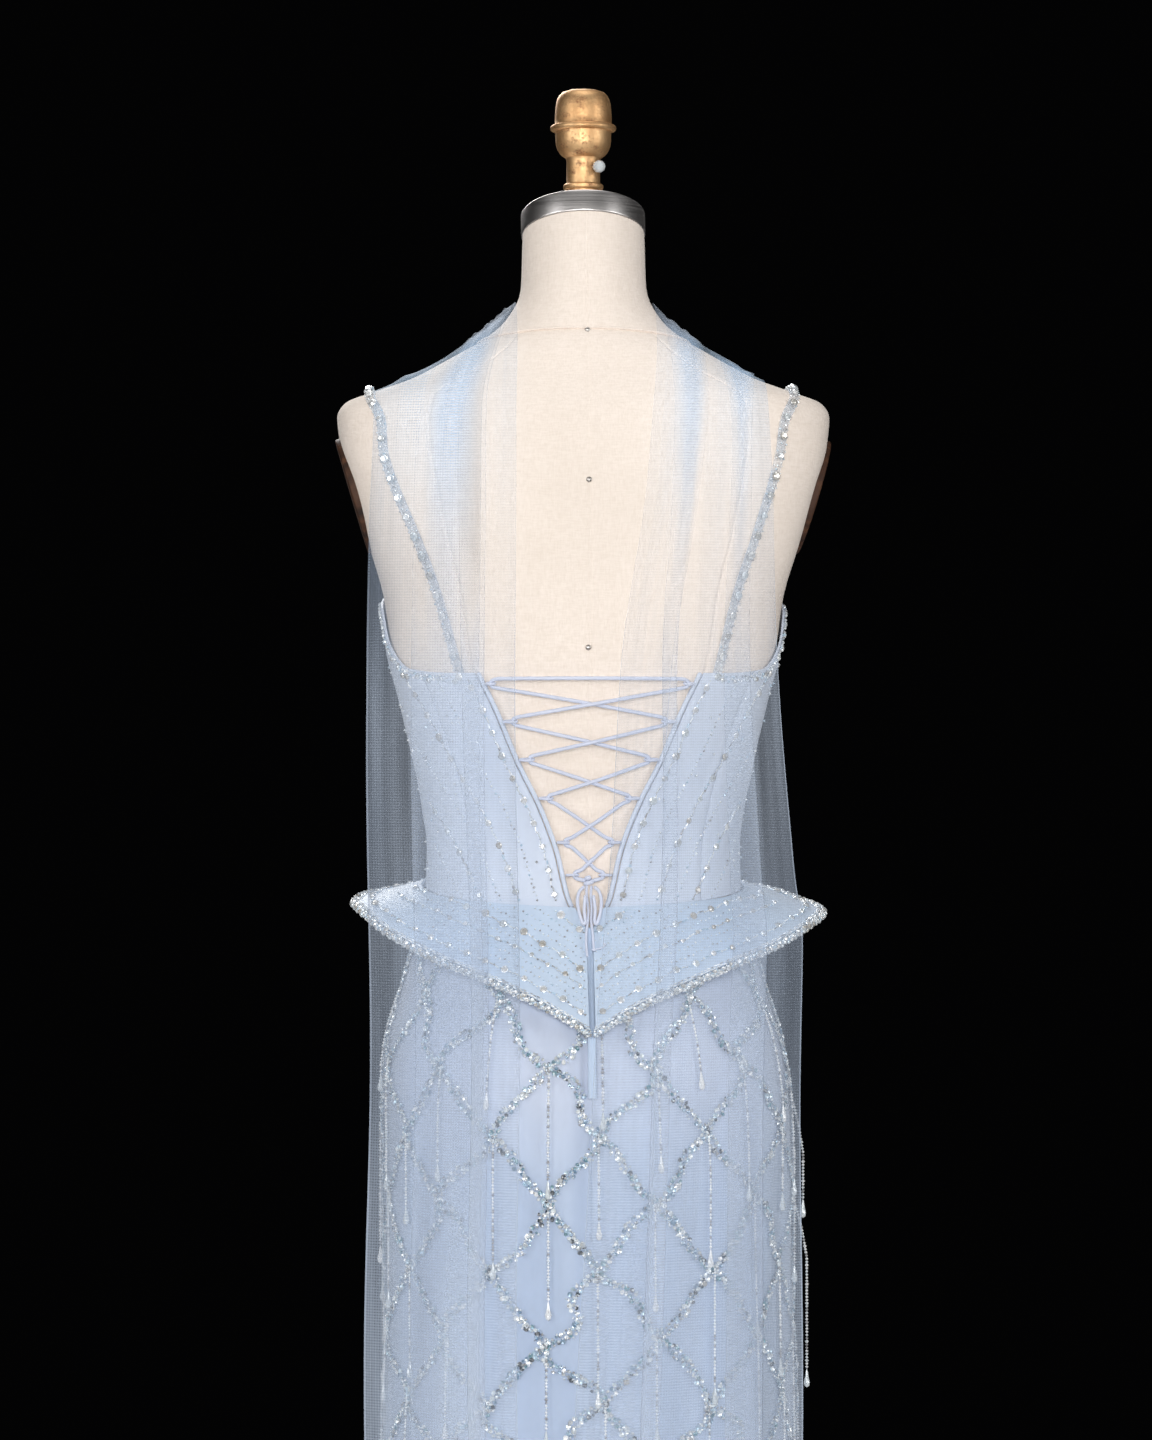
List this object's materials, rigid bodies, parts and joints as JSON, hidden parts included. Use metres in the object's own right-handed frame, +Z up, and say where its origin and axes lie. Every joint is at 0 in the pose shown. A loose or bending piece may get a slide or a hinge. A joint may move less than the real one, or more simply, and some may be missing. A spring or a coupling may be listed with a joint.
{
  "type": "mermaid evening gown on a limbless dress form",
  "caption": "Beaded mermaid evening gown with a lace-up back, stiff peplum, bead-lattice skirt and long tulle scarf, worn by a limbless dress form on a round-based stand.",
  "frame": {"origin": "centre of the stand's flat underside, on the floor", "axes": "+Z up, the gown's front faces -Y and its laced back +Y, the wearer's left is +X"},
  "size_m": [0.8581, 0.8582, 1.6416],
  "materials": {
    "linen": "plain woven linen cover, matt",
    "steel": "brushed",
    "gilt": "worn gold leaf on turned wood",
    "crystal": "faceted",
    "wood": "dark varnished",
    "iron": "black enamel",
    "bodice_satin": "satin under net, boned",
    "skirt_satin": "satin",
    "peplum_satin": "stiffened satin under net",
    "trim_satin": "satin rouleau",
    "strap_net": "folded net, beaded",
    "beaded_net": "fine net with beads",
    "tulle": "sheer soft tulle",
    "beading": "silver-lined glass beads, sequins and stones"
  },
  "bodies": {
    "root": {"form_torso": "linen", "form_neck_cap": "steel", "form_finial": "gilt", "form_screw_knob": "crystal", "form_arm_plate_left": "wood", "form_arm_plate_right": "wood", "form_pole": "steel", "form_base": "iron", "bodice_front_centre": "bodice_satin", "bodice_front_left": "bodice_satin", "bodice_front_right": "bodice_satin", "bodice_side_left": "bodice_satin", "bodice_side_right": "bodice_satin", "bodice_back_left": "bodice_satin", "bodice_back_right": "bodice_satin", "back_piping_left": "trim_satin", "back_piping_right": "trim_satin", "lace_loop_left_1": "trim_satin", "lace_loop_left_2": "trim_satin", "lace_loop_left_3": "trim_satin", "lace_loop_left_4": "trim_satin", "lace_loop_left_5": "trim_satin", "lace_loop_left_6": "trim_satin", "lace_loop_right_1": "trim_satin", "lace_loop_right_2": "trim_satin", "lace_loop_right_3": "trim_satin", "lace_loop_right_4": "trim_satin", "lace_loop_right_5": "trim_satin", "lace_loop_right_6": "trim_satin", "lace": "trim_satin", "lace_knot": "trim_satin", "lace_bow_left": "trim_satin", "lace_bow_right": "trim_satin", "lace_tail_left": "trim_satin", "lace_tail_right": "trim_satin", "strap_left": "strap_net", "strap_right": "strap_net", "peplum_back_left": "peplum_satin", "peplum_back_right": "peplum_satin", "peplum_front_left": "peplum_satin", "peplum_front_right": "peplum_satin", "peplum_edge_left": "beading", "peplum_edge_right": "beading", "skirt_front": "skirt_satin", "skirt_back_left": "skirt_satin", "skirt_back_right": "skirt_satin", "net_front": "beaded_net", "net_back_left": "beaded_net", "net_back_right": "beaded_net", "placket": "skirt_satin", "scarf_front": "tulle", "scarf_left": "tulle", "scarf_right": "tulle"}
  },
  "joints": []
}
